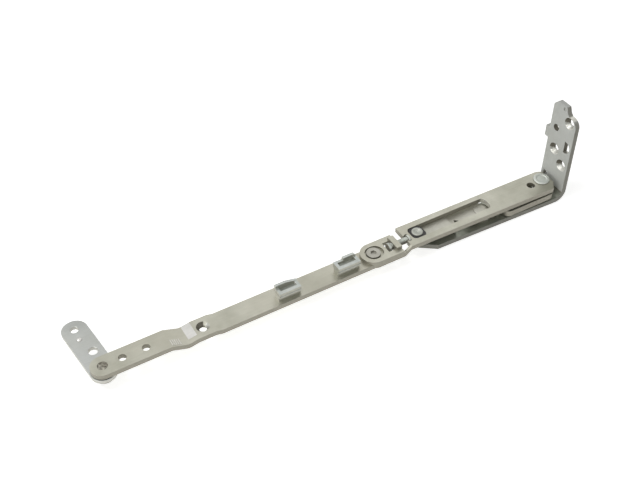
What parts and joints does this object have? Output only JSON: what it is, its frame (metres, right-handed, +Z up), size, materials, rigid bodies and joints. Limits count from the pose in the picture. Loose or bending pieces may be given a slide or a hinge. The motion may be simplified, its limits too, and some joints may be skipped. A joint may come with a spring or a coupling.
{
  "type": "tilt-turn window stay",
  "caption": "Zinc-plated window stay: slotted arm on an upright corner bracket, with a support lever and sliding block, a side adjuster, catches on a long bar and a swivel plate at its end.",
  "frame": {"origin": "underside of the bracket's leg, on the axis of the main pivot", "axes": "+X along the arm towards the upright flange, +Z up from the leg, +Y to the side on which the arm opens"},
  "size_m": [0.3965, 0.0639, 0.0821],
  "materials": {
    "zinc_plate": "bright zinc plating, satin",
    "bracket_zinc": "bright zinc plating, satin",
    "rivet_steel": "bright zinc plating",
    "cast_catch": "cast zinc alloy, plated",
    "black_acetal": "moulded black acetal"
  },
  "bodies": {
    "bracket": {"corner_bracket": "bracket_zinc", "bracket_flange": "bracket_zinc", "packing_plate": "zinc_plate", "slip_washer": "rivet_steel", "pivot_rivet": "rivet_steel", "lever_washer": "rivet_steel", "lever_rivet": "rivet_steel"},
    "arm": {"arm_head": "zinc_plate"},
    "lever": {"support_lever": "zinc_plate", "slider_rivet": "rivet_steel"},
    "slider": {"slider_block": "black_acetal", "slide_shoe": "zinc_plate"},
    "bar": {"arm_bar": "zinc_plate", "adjuster_housing": "zinc_plate", "clamp_screw": "rivet_steel", "catch_left": "cast_catch", "catch_right": "cast_catch", "catch_rivets": "rivet_steel", "swivel_washer": "black_acetal", "swivel_rivet": "rivet_steel"},
    "adjuster": {"adjusting_screw": "rivet_steel"},
    "swivel": {"swivel_plate": "bracket_zinc"}
  },
  "joints": [
    {"name": "arm_swing", "type": "hinge", "parent": "bracket", "child": "arm", "pos_m": [0, 0, 0.0135], "axis": [0, 0, -1], "range_deg": [0, 58]},
    {"name": "lever_swing", "type": "hinge", "parent": "bracket", "child": "lever", "pos_m": [-0.0595, 0, 0.008], "axis": [0, 0, -1], "range_deg": [0, 116]},
    {"name": "slider_turn", "type": "hinge", "parent": "lever", "child": "slider", "pos_m": [-0.119, 0, 0.0125], "axis": [0, 0, -1], "range_deg": [-58, 0]},
    {"name": "side_adjust", "type": "slide", "parent": "arm", "child": "bar", "axis": [1, 0, 0], "range_m": [-0.0015, 0.0015]},
    {"name": "adjuster_turn", "type": "hinge", "parent": "arm", "child": "adjuster", "pos_m": [-0.14, -0.00175, 0.0135], "axis": [1, 0, 0], "range_deg": [-676, 676]},
    {"name": "swivel_turn", "type": "hinge", "parent": "bar", "child": "swivel", "pos_m": [-0.369, -0.00175, 0.01], "axis": [0, 0, 1], "range_deg": [-70, 95]}
  ],
  "couplings": [
    {"joint": "lever_swing", "follows": "arm_swing", "ratio": 2},
    {"joint": "slider_turn", "follows": "arm_swing", "ratio": -1},
    {"joint": "adjuster_turn", "follows": "side_adjust", "rad_per_m": -7854}
  ]
}
